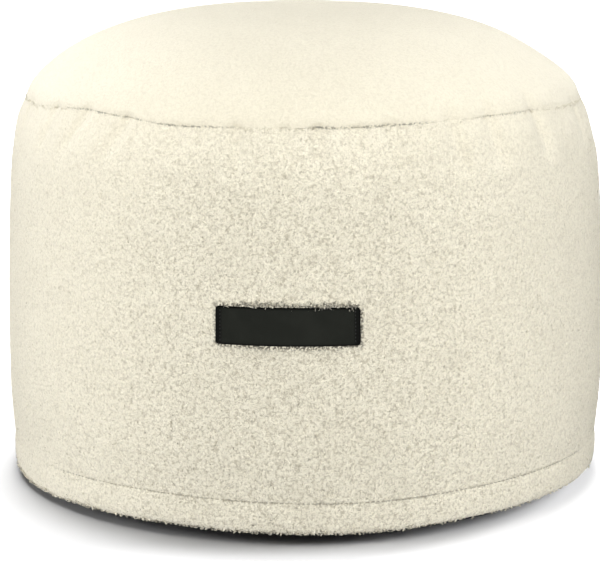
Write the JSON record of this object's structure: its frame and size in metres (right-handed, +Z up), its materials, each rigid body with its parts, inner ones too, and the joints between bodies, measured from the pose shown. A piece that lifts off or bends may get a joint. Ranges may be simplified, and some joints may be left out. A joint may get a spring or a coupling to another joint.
{
  "type": "bean bag footstool",
  "caption": "Round filled footstool in curly cream cloth, with a crowned top, gathers under the top seam, a stitched hem, a dark base cloth and a bare leather label.",
  "frame": {"origin": "centre of the footstool's flat base, on the floor", "axes": "+Z up, through the middle of the crown; the label faces -Y; +X to the right when looking at the label"},
  "size_m": [0.5582, 0.5614, 0.4318],
  "materials": {
    "curly_cloth": "cream curly teddy cloth, matt",
    "base_cloth": "black woven polyester, matt",
    "label_leather": "near-black leather, satin, fine grain"
  },
  "bodies": {
    "root": {"top_panel": "curly_cloth", "side_panel": "curly_cloth", "base_panel": "base_cloth", "label": "label_leather"}
  },
  "joints": []
}
